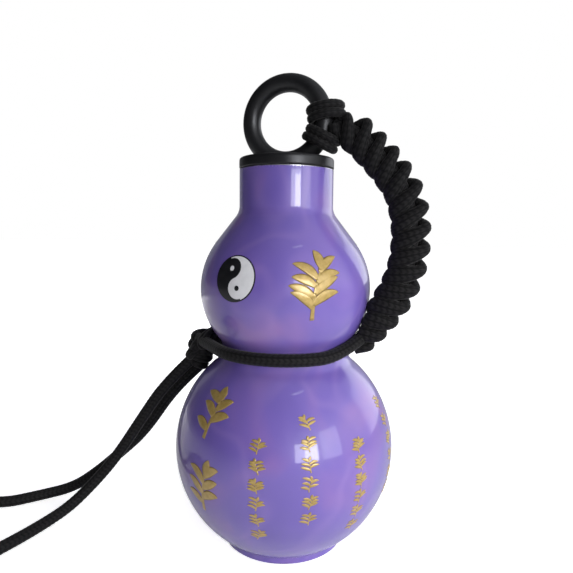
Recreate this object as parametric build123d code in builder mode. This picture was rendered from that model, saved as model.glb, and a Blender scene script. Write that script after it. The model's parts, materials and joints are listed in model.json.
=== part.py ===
from build123d import *
import os
from math import acos, atan2, cos, degrees, hypot, pi, radians, sin, sqrt, tan

# A gourd-shaped, double-walled water bottle with a screw-in stopper and a knotted carrying cord.
# Millimetres, +Z up. The origin is the centre of the base, on the surface that the bottle stands on.
# The carrying ring and the knotted strap lie in the XZ plane, with the strap on the +X side.

# Outer outline of the flask
lower_bulb_radius = 54.3
upper_bulb_radius = 38.0
upper_bulb_offset = 3.7
bulb_spacing = 78.3
waist_fillet_radius = 9.0
shoulder_angle = 37.6
neck_radius = 22.86
neck_fillet_radius = 8.5
neck_length = 17.306
foot_radius = 30.4
foot_height = 3.51
foot_clearance = 0.3

# Walls of the flask
outer_wall = 0.8
vacuum_gap = 2.5
inner_wall = 0.7
lip_thickness = 0.8
base_plate_thickness = 0.8
base_plate_height = 2.2
vacuum_hole_radius = 1.5
vacuum_head_radius = 3.5
vacuum_head_thickness = 0.6
getter_radius = 7.0
getter_thickness = 1.8
getter_rim = 0.6
getter_clearance = 1.7
pad_side_clearance = 0.3

# Screw thread between the neck and the stopper
thread_lead = 4.0
thread_turns = 1.75
thread_depth = 1.1
thread_root_width = 1.7
thread_crest_width = 0.8
thread_embed = 0.35
thread_clearance = 0.35
thread_start_below_lip = 13.4

# Stopper and carrying ring
cap_gap = 0.3
flange_overhang = 0.14
flange_thickness = 5.3
flange_edge_round = 1.3
ring_floor = 0.1
ring_radius = 18.3
ring_tube_radius = 4.4
plug_rise = 1.2
plug_wall = 1.8
plug_floor = 1.8
plug_edge_round = 1.0
foam_clearance = 0.2
seal_inner_clearance = 0.3
seal_width = 3.6
seal_thickness = 1.3

# Cord, knots and strap
cord_radius = 3.0
cord_clearance = 0.3
waist_cord_rise = 1.086
strand_gap = 0.6
strap_half_width = 8.5
strap_half_depth = 6.2
strap_lobes = 15
finger_gap = 10.8
strap_head_reach = 8.6
strap_head_angle = -9.5
strap_foot_reach = 7.0
strap_foot_rise = 1.2
strap_lobe_shares = (0.77, 0.95, 1.0, 0.95)
strap_along_shares = (0.0, 0.018, 0.065, 0.186, 0.30, 0.436, 0.55, 0.66, 0.77, 0.87, 0.95, 1.0)
strap_bow_shares = (0.0, 0.14, 0.347, 0.71, 0.935, 1.0, 0.96, 0.845, 0.635, 0.36, 0.15, 0.0)
strap_width_shares = (0.72, 1.0, 1.0, 1.0, 1.0, 1.0, 1.0, 1.0, 0.98, 0.9, 0.76, 0.5)
hitch_angles = (14.0, -31.0)
hitch_half_thickness = 2.6
hitch_half_width = 4.1
hitch_clearance = 0.3
knot_bulb_gap = 10.01
knot_drop = 5.9
knot_length = 22.5
knot_radius = 7.1
knot_tilt = 9.8
knot_wrap_shares = (0.76, 1.0, 0.98, 0.72)

# Printed disc on the upper bulb, half dark and half light
disc_radius = 10.4
disc_rise = 7.9
disc_azimuth = -103.8
disc_lean = 23.3
disc_rim = 0.55
disc_dot_share = 0.11
disc_head_share = 0.95
decal_thickness = 0.15

# Shoulder cord: its two legs, and the coil of the length that is put away
coil_route_centre = (-173.7, -85.2)
coil_start_azimuth = -56.0
coil_outer_radius = 34.9
coil_gap = 0.5
coil_half_turns_in = 4
floor_gap = 0.05
route_knot_offset = 46.9
route_knot_height = 92.5
route_floor_height = 3.05
leg_a_points = [
    (-48.1, -1.9, 90.2),
    (-65.0, -6.5, 73.8),
    (-80.5, -9.2, 50.5),
    (-93.3, -11.5, 30.9),
    (-103.5, -17.5, 17.0),
    (-113.4, -26.6, 4.9),
    (-116.2, -44.0, 3.05),
    (-118.8, -63.0, 3.05),
    (-123.0, -82.0, 3.05),
]
leg_b_points = [
    (-46.3, 2.6, 85.2),
    (-62.2, -0.3, 71.3),
    (-82.5, -1.0, 42.4),
    (-97.5, -2.9, 28.5),
    (-112.5, -5.4, 15.2),
    (-126.5, -9.0, 5.2),
    (-140.0, -19.5, 3.05),
    (-155.0, -36.5, 3.05),
]
leg_end_run = 16.0
corner_share = 0.45

# Sizes of the flask that follow from the ones above
inner_skin = outer_wall + vacuum_gap
bore_skin = inner_skin + inner_wall
bore_radius = neck_radius - bore_skin
thread_crest_radius = bore_radius - thread_depth
plug_radius = thread_crest_radius - thread_clearance
plug_thread_radius = bore_radius - thread_clearance
flange_radius = neck_radius + flange_overhang
plug_length = neck_length + cap_gap - plug_rise
lower_bulb_height = foot_height + sqrt(lower_bulb_radius**2 - foot_radius**2)
upper_bulb_height = lower_bulb_height + bulb_spacing
inner_floor_bottom = base_plate_height + base_plate_thickness + getter_clearance + getter_thickness
inner_floor_height = inner_floor_bottom + inner_wall
half_turn = 180.0


def between_bulbs(skin):
    """Centre of the waist's hollow arc and the directions from each bulb's centre to it."""
    low = lower_bulb_radius + waist_fillet_radius
    high = upper_bulb_radius + waist_fillet_radius
    rise = upper_bulb_height - lower_bulb_height
    span = hypot(upper_bulb_offset, rise)
    along = (low**2 - high**2 + span**2) / (2 * span)
    across = sqrt(low**2 - along**2)
    step_out, step_up = upper_bulb_offset / span, rise / span
    centre = (
        along * step_out + across * step_up,
        lower_bulb_height + along * step_up - across * step_out,
    )
    low_angle = degrees(atan2(centre[1] - lower_bulb_height, centre[0]))
    high_angle = degrees(atan2(centre[1] - upper_bulb_height, centre[0] - upper_bulb_offset))
    return centre, low_angle, high_angle


waist_centre, lower_join_angle, upper_join_angle = between_bulbs(0)
waist_height = waist_centre[1]
waist_radius = waist_centre[0] - waist_fillet_radius
neck_bend_reach = neck_radius + neck_fillet_radius - upper_bulb_offset
neck_bend_height = upper_bulb_height + (
    upper_bulb_radius + neck_fillet_radius - neck_bend_reach * cos(radians(shoulder_angle))
) / sin(radians(shoulder_angle))
neck_top = neck_bend_height + neck_length
flange_bottom = neck_top + cap_gap
ring_centre_height = flange_bottom + ring_floor + ring_tube_radius + ring_radius


def on_circle(centre, radius, angle):
    """Point on a circle in the sketch plane, at an angle in degrees."""
    return (
        centre[0] + radius * cos(radians(angle)),
        centre[1] + radius * sin(radians(angle)),
    )


def bowl_line(skin, end_radius):
    """Lower half of the lower bulb, from a given radius near the base up to the widest place."""
    radius = lower_bulb_radius - skin
    angle = degrees(acos(end_radius / radius))
    return CenterArc((0, lower_bulb_height), radius, -angle, angle)


def lower_waist_line(skin):
    """From the widest place of the lower bulb up to the narrowest place of the waist."""
    CenterArc((0, lower_bulb_height), lower_bulb_radius - skin, 0, lower_join_angle)
    start = half_turn + lower_join_angle
    return CenterArc(waist_centre, waist_fillet_radius + skin, start, -lower_join_angle)


def upper_waist_line(skin):
    """From the narrowest place of the waist up to the widest place of the upper bulb."""
    CenterArc(waist_centre, waist_fillet_radius + skin, half_turn, upper_join_angle)
    centre = (upper_bulb_offset, upper_bulb_height)
    return CenterArc(centre, upper_bulb_radius - skin, upper_join_angle, -upper_join_angle)


def shoulder_line(skin, top):
    """From the widest place of the upper bulb over the shoulder and up the neck."""
    centre = (upper_bulb_offset, upper_bulb_height)
    bend = (neck_radius + neck_fillet_radius, neck_bend_height)
    bend_radius = neck_fillet_radius + skin
    CenterArc(centre, upper_bulb_radius - skin, 0, shoulder_angle)
    Line(
        on_circle(centre, upper_bulb_radius - skin, shoulder_angle),
        on_circle(bend, bend_radius, half_turn + shoulder_angle),
    )
    CenterArc(bend, bend_radius, half_turn + shoulder_angle, -shoulder_angle)
    return Line((neck_radius - skin, neck_bend_height), (neck_radius - skin, top))


def thread_ridge(root_radius, crest_radius, bottom, embed):
    """One right-hand ridge, from inside its wall at the root out to its crest."""
    direction = 1 if crest_radius > root_radius else -1
    base_radius = root_radius - direction * embed
    with BuildPart(mode=Mode.PRIVATE) as ridge:
        with BuildLine() as path:
            Helix(thread_lead, thread_lead * thread_turns, root_radius, center=(0, 0, bottom))
        with BuildSketch(Plane(path.line @ 0, x_dir=(1, 0, 0), z_dir=path.line % 0)):
            with BuildLine():
                Polyline(
                    (base_radius - root_radius, -thread_root_width / 2),
                    (crest_radius - root_radius, -thread_crest_width / 2),
                    (crest_radius - root_radius, thread_crest_width / 2),
                    (base_radius - root_radius, thread_root_width / 2),
                    close=True,
                )
            make_face()
        sweep(path=path.line, is_frenet=True)
    return ridge.part


# Outer shell: three pressed shells, welded at the widest place of each bulb

lip_bottom = neck_top - lip_thickness

with BuildPart() as outer_shell_top:
    with BuildSketch(Plane.XZ):
        with BuildLine():
            shoulder_line(0, lip_bottom)
            shoulder_line(outer_wall, lip_bottom)
            Line((neck_radius - outer_wall, lip_bottom), (neck_radius, lip_bottom))
            Line(
                (upper_bulb_offset + upper_bulb_radius - outer_wall, upper_bulb_height),
                (upper_bulb_offset + upper_bulb_radius, upper_bulb_height),
            )
        make_face()
    revolve(axis=Axis.Z)

with BuildPart() as outer_shell_waist:
    with BuildSketch(Plane.XZ):
        with BuildLine():
            for skin in (0, outer_wall):
                lower_waist_line(skin)
                upper_waist_line(skin)
            Line(
                (lower_bulb_radius - outer_wall, lower_bulb_height),
                (lower_bulb_radius, lower_bulb_height),
            )
            Line(
                (upper_bulb_offset + upper_bulb_radius - outer_wall, upper_bulb_height),
                (upper_bulb_offset + upper_bulb_radius, upper_bulb_height),
            )
        make_face()
    revolve(axis=Axis.Z)

foot_inner_radius = foot_radius - outer_wall
with BuildPart() as outer_shell_bottom:
    with BuildSketch(Plane.XZ):
        with BuildLine():
            outside = bowl_line(0, foot_radius)
            inside = bowl_line(outer_wall, foot_inner_radius)
            Line(outside @ 1, inside @ 1)
            Line(outside @ 0, (foot_radius, foot_clearance))
            Line((foot_radius, foot_clearance), (foot_inner_radius, foot_clearance))
            Line((foot_inner_radius, foot_clearance), inside @ 0)
        make_face()
    revolve(axis=Axis.Z)

# Base: a welded plate, its evacuation plug, and the pad that the bottle stands on

with BuildPart() as base_plate:
    with BuildSketch(Plane.XY.offset(base_plate_height)):
        Circle(foot_inner_radius)
        Circle(vacuum_hole_radius, mode=Mode.SUBTRACT)
    extrude(amount=base_plate_thickness)

with BuildPart() as vacuum_plug:
    with BuildSketch(Plane.XY.offset(base_plate_height - vacuum_head_thickness)):
        Circle(vacuum_head_radius)
    extrude(amount=vacuum_head_thickness)
    with BuildSketch(Plane.XY.offset(base_plate_height)):
        Circle(vacuum_hole_radius)
    extrude(amount=base_plate_thickness)

pocket_radius = vacuum_head_radius + pad_side_clearance
pocket_depth = vacuum_head_thickness + pad_side_clearance
with BuildPart() as base_pad:
    with BuildSketch():
        Circle(foot_inner_radius - pad_side_clearance)
    extrude(amount=base_plate_height)
    with BuildSketch(Plane.XY.offset(base_plate_height - pocket_depth)):
        Circle(pocket_radius)
    extrude(amount=pocket_depth, mode=Mode.SUBTRACT)

# Inner flask: neck and upper bulb, middle, and bottom, welded into one vessel

with BuildPart() as inner_flask_top:
    with BuildSketch(Plane.XZ):
        with BuildLine():
            for skin, top in ((inner_skin, lip_bottom), (bore_skin, neck_top)):
                upper_waist_line(skin)
                shoulder_line(skin, top)
            Line(
                (waist_radius - inner_skin, waist_height),
                (waist_radius - bore_skin, waist_height),
            )
            Polyline(
                (neck_radius - inner_skin, lip_bottom),
                (neck_radius, lip_bottom),
                (neck_radius, neck_top),
                (bore_radius, neck_top),
            )
        make_face()
    revolve(axis=Axis.Z)
    thread_bottom = neck_top - thread_start_below_lip
    add(thread_ridge(bore_radius, thread_crest_radius, thread_bottom, thread_embed))

with BuildPart() as inner_flask_middle:
    with BuildSketch(Plane.XZ):
        with BuildLine():
            for skin in (inner_skin, bore_skin):
                lower_waist_line(skin)
            Line(
                (lower_bulb_radius - inner_skin, lower_bulb_height),
                (lower_bulb_radius - bore_skin, lower_bulb_height),
            )
            Line(
                (waist_radius - inner_skin, waist_height),
                (waist_radius - bore_skin, waist_height),
            )
        make_face()
    revolve(axis=Axis.Z)


def sphere_reach(skin, height):
    """Radius of the lower bulb at a height, under a skin of the given thickness."""
    return sqrt((lower_bulb_radius - skin) ** 2 - (lower_bulb_height - height) ** 2)


with BuildPart() as inner_flask_bottom:
    with BuildSketch(Plane.XZ):
        with BuildLine():
            outside = bowl_line(inner_skin, sphere_reach(inner_skin, inner_floor_bottom))
            inside = bowl_line(bore_skin, sphere_reach(bore_skin, inner_floor_height))
            Line(outside @ 1, inside @ 1)
            Polyline(
                outside @ 0,
                (0, inner_floor_bottom),
                (0, inner_floor_height),
                inside @ 0,
            )
        make_face()
    revolve(axis=Axis.Z)

with BuildPart() as getter:
    with BuildSketch(Plane.XY.offset(inner_floor_bottom - getter_thickness)):
        Circle(getter_radius)
    extrude(amount=getter_thickness)
    with BuildSketch(Plane.XY.offset(inner_floor_bottom - getter_thickness)):
        Circle(getter_radius - getter_rim)
    extrude(amount=getter_rim, mode=Mode.SUBTRACT)

# Stopper: flange and carrying ring in one, the threaded plug, its foam core and its seal

seal_inner_radius = plug_radius + seal_inner_clearance
seal_outer_radius = seal_inner_radius + seal_width
seal_top = neck_top + seal_thickness
with BuildPart() as cap_top:
    with BuildSketch(Plane.XY.offset(flange_bottom)):
        Circle(flange_radius)
    extrude(amount=flange_thickness)
    fillet(edges().filter_by(GeomType.CIRCLE).group_by(Axis.Z)[-1], flange_edge_round)
    with BuildSketch(Plane.XZ):
        with Locations((ring_radius, 0)):
            Circle(ring_tube_radius)
    ring_axis = Axis((0, 0, 0), (0, 0, 1))
    ring = revolve(axis=ring_axis, mode=Mode.PRIVATE)
    add(Plane((0, 0, ring_centre_height), x_dir=(1, 0, 0), z_dir=(0, -1, 0)) * ring)
    with BuildSketch(Plane.XY.offset(flange_bottom)):
        Circle(seal_outer_radius)
        Circle(seal_inner_radius, mode=Mode.SUBTRACT)
    extrude(amount=seal_top - flange_bottom, mode=Mode.SUBTRACT)

with BuildPart() as cap_seal:
    with BuildSketch(Plane.XY.offset(neck_top)):
        Circle(seal_outer_radius)
        Circle(seal_inner_radius, mode=Mode.SUBTRACT)
    extrude(amount=seal_thickness)

plug_bottom = flange_bottom - plug_length
with BuildPart() as cap_plug:
    with BuildSketch(Plane.XY.offset(plug_bottom)):
        Circle(plug_radius)
    extrude(amount=plug_length)
    fillet(edges().filter_by(GeomType.CIRCLE).group_by(Axis.Z)[0], plug_edge_round)
    with BuildSketch(Plane.XY.offset(plug_bottom + plug_floor)):
        Circle(plug_radius - plug_wall)
    extrude(amount=plug_length, mode=Mode.SUBTRACT)
    plug_thread_bottom = thread_bottom + thread_lead / 2
    add(thread_ridge(plug_radius, plug_thread_radius, plug_thread_bottom, thread_embed))

with BuildPart() as cap_foam:
    with BuildSketch(Plane.XY.offset(plug_bottom + plug_floor)):
        Circle(plug_radius - plug_wall - foam_clearance)
    extrude(amount=plug_length - plug_floor)

# Hitch: two doubled turns of the cord round the ring's tube

hitch_reach = ring_tube_radius + hitch_clearance + hitch_half_thickness
with BuildPart(mode=Mode.PRIVATE) as doubled_turn:
    with BuildSketch(Plane.XZ):
        with Locations((hitch_reach, 0)):
            Ellipse(hitch_half_thickness, hitch_half_width)
    revolve(axis=Axis.Z)

with BuildPart() as ring_hitch:
    for angle in hitch_angles:
        turn_centre = (
            ring_radius * cos(radians(angle)),
            0,
            ring_centre_height + ring_radius * sin(radians(angle)),
        )
        along_ring = (-sin(radians(angle)), 0, cos(radians(angle)))
        add(Plane(turn_centre, x_dir=(0, 1, 0), z_dir=along_ring) * doubled_turn.part)

# Knotted strap: a bowed, lobed chain of knots from the hitch down to the waist

waist_cord_height = waist_height + waist_cord_rise
waist_cord_radius = waist_centre[0] - sqrt(
    (waist_fillet_radius - cord_clearance - cord_radius) ** 2 - waist_cord_rise**2
)
strap_top_radius = ring_radius + strap_head_reach
strap_top = (
    strap_top_radius * cos(radians(strap_head_angle)),
    ring_centre_height + strap_top_radius * sin(radians(strap_head_angle)),
)
strap_foot = (waist_radius + strap_foot_reach, waist_cord_height + strap_foot_rise)
bulb_reach = upper_bulb_offset + upper_bulb_radius
strap_bow = bulb_reach + finger_gap + strap_half_width - (strap_top[0] + strap_foot[0]) / 2
strap_points = [
    (
        strap_top[0] + (strap_foot[0] - strap_top[0]) * along + strap_bow * bow,
        0,
        strap_top[1] + (strap_foot[1] - strap_top[1]) * along,
    )
    for along, bow in zip(strap_along_shares, strap_bow_shares)
]


def strap_width_share(place):
    """Share of the full width at a place from 0, at the hitch, to 1, at the waist."""
    scaled = place * (len(strap_width_shares) - 1)
    index = min(int(scaled), len(strap_width_shares) - 2)
    low, high = strap_width_shares[index], strap_width_shares[index + 1]
    return low + (high - low) * (scaled - index)


with BuildLine() as strap_line:
    Spline(*strap_points)

with BuildPart() as knotted_strap:
    steps = len(strap_lobe_shares)
    for station in range(steps * strap_lobes + 1):
        place = station / (steps * strap_lobes)
        share = strap_width_share(place) * strap_lobe_shares[station % steps]
        along_strap = strap_line.line % place
        with BuildSketch(Plane(strap_line.line @ place, x_dir=(0, 1, 0), z_dir=along_strap)):
            Ellipse(strap_half_depth * share, strap_half_width * share)
    loft(ruled=True)

# Waist loop: one strand round the front and one round the back, from the strap to the knot

strand_spacing = 2 * cord_radius + strand_gap
knot_height = waist_cord_height - knot_drop
knot_offset = sqrt((lower_bulb_radius + knot_bulb_gap) ** 2 - (knot_height - lower_bulb_height) ** 2)


def waist_strand(side):
    """A strand round one side of the waist, with straight runs to the strap and to the knot."""
    right = (strap_foot[0], side * strand_spacing / 2)
    left = (-knot_offset, side * strand_spacing / 2)
    right_turn = degrees(atan2(right[1], right[0]) + side * acos(waist_cord_radius / hypot(*right)))
    left_turn = degrees(atan2(left[1], left[0]) - side * acos(waist_cord_radius / hypot(*left)))
    with BuildPart() as strand:
        with BuildLine(Plane.XY.offset(waist_cord_height)) as path:
            first = Line(right, on_circle((0, 0), waist_cord_radius, right_turn))
            second = CenterArc((0, 0), waist_cord_radius, right_turn, left_turn - right_turn)
            Line(second @ 1, left)
        with BuildSketch(Plane(first @ 0, z_dir=first % 0)):
            Circle(cord_radius)
        sweep(path=path.line)
    return strand


waist_cord_front = waist_strand(-1)
waist_cord_back = waist_strand(1)

# Side knot: a barrel of wraps beside the waist, from which the two legs of the shoulder cord leave

wrap_height = knot_length / len(knot_wrap_shares)
crease_radii = [
    knot_radius * (low + high) / 2 - wrap_height / 4
    for low, high in zip(knot_wrap_shares, knot_wrap_shares[1:])
]
first_radius, last_radius = (
    knot_radius * share - wrap_height / 2 for share in (knot_wrap_shares[0], knot_wrap_shares[-1])
)
creases = [
    (radius, -knot_length / 2 + index * wrap_height)
    for index, radius in enumerate([first_radius, *crease_radii, last_radius])
]
with BuildPart() as side_knot:
    with BuildSketch(Plane.XZ):
        with BuildLine():
            for share, low, high in zip(knot_wrap_shares, creases, creases[1:]):
                ThreePointArc(low, (knot_radius * share, (low[1] + high[1]) / 2), high)
            Polyline(creases[-1], (0, knot_length / 2), (0, -knot_length / 2), creases[0])
        make_face()
    revolve(axis=Axis.Z)
knot_place = Location((-knot_offset, 0, knot_height), (0, knot_tilt, 0))
side_knot.part.locate(knot_place)

# Shoulder cord: its route follows the knot's place and the floor

floor_height = cord_radius + floor_gap
coil_spacing = 2 * cord_radius + coil_gap
route_shift = route_knot_offset - knot_offset
route_stretch = (knot_height - floor_height) / (route_knot_height - route_floor_height)
coil_centre = (coil_route_centre[0] + route_shift, coil_route_centre[1])


def moved_route(points):
    """The route's points, moved out with the knot and stretched up to it from the floor."""
    return [
        (x + route_shift, y, floor_height + (z - route_floor_height) * route_stretch)
        for x, y, z in points
    ]


def corner_radii(points):
    """Largest arc at each corner that both of its runs leave room for."""
    radii = []
    for before, corner, after in zip(points, points[1:], points[2:]):
        run_in, run_out = Vector(corner) - Vector(before), Vector(after) - Vector(corner)
        turn = radians(run_in.get_angle(run_out))
        radii.append(corner_share * min(run_in.length, run_out.length) / tan(turn / 2))
    return radii


def cord_leg(points):
    """A round cord along straight runs that are joined by tangent arcs."""
    radii = corner_radii(points)
    with BuildPart() as leg:
        with BuildLine() as path:
            FilletPolyline(*points, radius=radii)
        with BuildSketch(Plane(path.line @ 0, z_dir=path.line % 0)):
            Circle(cord_radius)
        sweep(path=path.line)
    length = path.wires()[0].length
    ratio = leg.part.volume / (pi * cord_radius**2 * length)
    print("leg", round(length, 1), "mm, radii", [round(radius, 1) for radius in radii])
    print("volume over section times length", round(ratio, 5))
    return leg


start_direction = (cos(radians(coil_start_azimuth)), sin(radians(coil_start_azimuth)))
heading = (start_direction[1], -start_direction[0])


def coil_point(across, along, height):
    """Place in the coil: across its joint line, along the cord's first heading, and up."""
    return (
        coil_centre[0] + across * start_direction[0] + along * heading[0],
        coil_centre[1] + across * start_direction[1] + along * heading[1],
        height,
    )


coil_layer_height = floor_height + coil_spacing
end_straight = 2 * cord_radius
coil_in = coil_point(coil_outer_radius, -end_straight, floor_height)
coil_out = coil_point(-coil_outer_radius, -end_straight, coil_layer_height)
leg_a_run = coil_point(coil_outer_radius, -end_straight - leg_end_run, floor_height)
leg_b_run = coil_point(-coil_outer_radius, -end_straight - leg_end_run, coil_layer_height)
shoulder_cord_leg_a = cord_leg([*moved_route(leg_a_points), leg_a_run, coil_in])
shoulder_cord_leg_b = cord_leg([*moved_route(leg_b_points), leg_b_run, coil_out])


def flat_half_turn(begin, radius, side, height):
    """Half a turn in one layer, from one end of the joint line to the other."""
    end = begin - side * 2 * radius
    ThreePointArc(
        coil_point(begin, 0, height),
        coil_point(begin - side * radius, side * radius, height),
        coil_point(end, 0, height),
    )
    return end


with BuildPart() as shoulder_cord_coil:
    with BuildLine() as coil_path:
        Line(coil_in, coil_point(coil_outer_radius, 0, floor_height))
        place = coil_outer_radius
        radius = coil_outer_radius
        for index in range(coil_half_turns_in):
            place = flat_half_turn(place, radius, 1 if index % 2 == 0 else -1, floor_height)
            radius -= coil_spacing / 2
        climb = coil_layer_height - floor_height
        climb_reach = hypot(radius, climb / 2)
        joint = coil_point(0, climb_reach, floor_height + climb / 2)
        climb_end = coil_point(-radius, 0, coil_layer_height)
        climb_slope = Vector(*climb_end) - Vector(*coil_point(radius, 0, floor_height))
        TangentArc(coil_point(radius, 0, floor_height), joint, tangent=(*heading, 0))
        TangentArc(joint, climb_end, tangent=climb_slope)
        place = -radius
        for index in range(coil_half_turns_in):
            radius += coil_spacing / 2
            place = flat_half_turn(place, radius, -1 if index % 2 == 0 else 1, coil_layer_height)
        Line(coil_point(-coil_outer_radius, 0, coil_layer_height), coil_out)
    with BuildSketch(Plane(coil_path.line @ 0, z_dir=coil_path.line % 0)):
        Circle(cord_radius)
    sweep(path=coil_path.line)


def least_gap(path, spacing):
    """Least distance between surfaces of one wound cord, away from its own neighbourhood."""
    count = int(path.length / spacing)
    points = [path @ (step / count) for step in range(count + 1)]
    apart = int(pi * 2 * cord_radius / spacing) + 1
    least = min(
        (points[first] - points[second]).length
        for first in range(count + 1)
        for second in range(first + apart, count + 1)
    )
    return least - 2 * cord_radius


coil_wire = coil_path.wires()[0]
coil_ratio = shoulder_cord_coil.part.volume / (pi * cord_radius**2 * coil_wire.length)
print("coil", round(coil_wire.length, 1), "mm")
print("least gap in the coil", round(least_gap(coil_wire, cord_radius / 2), 2), "mm")
print("volume over section times length", round(coil_ratio, 5))

# Printed disc: a dark half and a light half, each with a dot of the other in its head

disc_angle = degrees(atan2(disc_rise, upper_bulb_radius))
disc_normal = Vector(
    cos(radians(disc_angle)) * cos(radians(disc_azimuth)),
    cos(radians(disc_angle)) * sin(radians(disc_azimuth)),
    sin(radians(disc_angle)),
)
disc_side = Vector(-sin(radians(disc_azimuth)), cos(radians(disc_azimuth)), 0)
disc_up = disc_normal.cross(disc_side)
disc_reach = upper_bulb_offset + upper_bulb_radius * cos(radians(disc_angle))
disc_plane = Plane(
    (
        disc_reach * cos(radians(disc_azimuth)),
        disc_reach * sin(radians(disc_azimuth)),
        upper_bulb_height + upper_bulb_radius * sin(radians(disc_angle)),
    ),
    x_dir=disc_side * cos(radians(disc_lean)) + disc_up * sin(radians(disc_lean)),
    z_dir=disc_normal,
)

with BuildPart() as decal_skin:
    with BuildSketch(Plane.XZ):
        with BuildLine():
            for layer in (0, decal_thickness):
                centre = (upper_bulb_offset, upper_bulb_height)
                arc_radius = upper_bulb_radius + layer
                CenterArc(centre, arc_radius, -shoulder_angle, 2 * shoulder_angle)
            for angle in (-shoulder_angle, shoulder_angle):
                Line(
                    on_circle(centre, upper_bulb_radius, angle),
                    on_circle(centre, upper_bulb_radius + decal_thickness, angle),
                )
        make_face()
    revolve(axis=Axis.Z)

light_radius = disc_radius - disc_rim
head_radius = disc_head_share * light_radius / 2
dot_radius = disc_dot_share * disc_radius

with BuildPart() as disc_light:
    with BuildSketch(disc_plane):
        with BuildLine():
            CenterArc((0, 0), light_radius, -half_turn / 2, half_turn)
            CenterArc((0, head_radius), head_radius, half_turn / 2, -half_turn)
            CenterArc((0, -head_radius), head_radius, half_turn / 2, half_turn)
            Line((0, light_radius), (0, 2 * head_radius))
            Line((0, -2 * head_radius), (0, -light_radius))
        make_face()
        with Locations((0, -head_radius)):
            Circle(dot_radius, mode=Mode.SUBTRACT)
        with Locations((0, head_radius)):
            Circle(dot_radius)
    extrude(amount=disc_radius / 2, both=True)
    add(decal_skin.part, mode=Mode.INTERSECT)

with BuildPart() as disc_dark:
    with BuildSketch(disc_plane):
        Circle(disc_radius)
    extrude(amount=disc_radius / 2, both=True)
    add(decal_skin.part, mode=Mode.INTERSECT)
    add(disc_light.part, mode=Mode.SUBTRACT)

os.makedirs("parts", exist_ok=True)
pieces = {
    "outer_shell_top": outer_shell_top,
    "outer_shell_waist": outer_shell_waist,
    "outer_shell_bottom": outer_shell_bottom,
    "base_plate": base_plate,
    "vacuum_plug": vacuum_plug,
    "base_pad": base_pad,
    "inner_flask_top": inner_flask_top,
    "inner_flask_middle": inner_flask_middle,
    "inner_flask_bottom": inner_flask_bottom,
    "getter": getter,
    "disc_dark": disc_dark,
    "disc_light": disc_light,
    "cap_top": cap_top,
    "cap_plug": cap_plug,
    "cap_foam": cap_foam,
    "cap_seal": cap_seal,
    "ring_hitch": ring_hitch,
    "knotted_strap": knotted_strap,
    "waist_cord_front": waist_cord_front,
    "waist_cord_back": waist_cord_back,
    "side_knot": side_knot,
    "shoulder_cord_leg_a": shoulder_cord_leg_a,
    "shoulder_cord_leg_b": shoulder_cord_leg_b,
    "shoulder_cord_coil": shoulder_cord_coil,
}
for name, piece in pieces.items():
    piece.part.label = name
    export_step(piece.part, f"parts/{name}.step")
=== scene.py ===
import json
import math
import random

import bmesh
import bpy
from mathutils import Matrix, Vector


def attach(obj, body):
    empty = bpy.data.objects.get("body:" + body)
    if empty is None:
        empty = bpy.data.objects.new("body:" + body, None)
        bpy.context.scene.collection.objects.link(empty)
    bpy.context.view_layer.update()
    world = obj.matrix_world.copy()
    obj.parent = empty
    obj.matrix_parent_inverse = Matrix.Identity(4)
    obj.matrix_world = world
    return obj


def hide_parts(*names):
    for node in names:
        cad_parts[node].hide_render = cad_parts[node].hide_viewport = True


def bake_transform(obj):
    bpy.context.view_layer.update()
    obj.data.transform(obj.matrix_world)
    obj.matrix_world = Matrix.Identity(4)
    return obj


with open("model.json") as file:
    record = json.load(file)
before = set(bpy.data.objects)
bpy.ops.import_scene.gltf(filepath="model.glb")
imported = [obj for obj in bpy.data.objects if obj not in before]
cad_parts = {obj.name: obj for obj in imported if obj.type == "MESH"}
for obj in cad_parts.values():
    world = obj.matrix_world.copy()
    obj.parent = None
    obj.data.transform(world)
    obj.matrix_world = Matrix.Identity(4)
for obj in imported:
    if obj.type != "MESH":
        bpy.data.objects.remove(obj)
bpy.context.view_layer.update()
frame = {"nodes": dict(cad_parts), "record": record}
nodes = frame["nodes"]

# Outer outline of the flask, in metres, as the solids have it
LOWER_RADIUS = 0.0543
LOWER_HEIGHT = 0.0485
UPPER_RADIUS = 0.038
UPPER_OFFSET = 0.0037
UPPER_HEIGHT = 0.1268
WAIST_FILLET = 0.009
SHOULDER_ANGLE = math.radians(37.6)
NECK_RADIUS = 0.02286
NECK_FILLET = 0.0085
NECK_TOP = 0.1844
NECK_EDGE = 0.0002
FOOT_RADIUS = 0.0304
FOOT_EDGE = 0.0005
FOOT_GAP_ANGLE = 0.008
SHELL_WALL = 0.0008
RIM_DEPTH = 0.0024

# Sides round the flask, and steps along each arc of its outline
BODY_SIDES = 288
FOOT_STEPS = 5
LOWER_STEPS = 90
HOLLOW_STEPS = 24
UPPER_STEPS = 60
NECK_STEPS = 14
RIM_STEPS = 4

# Stopper and carrying ring
FLANGE_BOTTOM = 0.1847
FLANGE_TOP = 0.19
FLANGE_RADIUS = 0.023
FLANGE_ROUND = 0.0013
RING_HEIGHT = 0.2075
RING_RADIUS = 0.0183
RING_TUBE = 0.0044
FLANGE_LOW_STEPS = 3
FLANGE_HIGH_STEPS = 8
FLANGE_SIDES = 160
RING_SIDES = 128
RING_TUBE_SIDES = 40
CAP_VOXEL = 0.00034
CAP_SMOOTHING = 0.5
CAP_SMOOTHING_ROUNDS = 9

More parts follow.
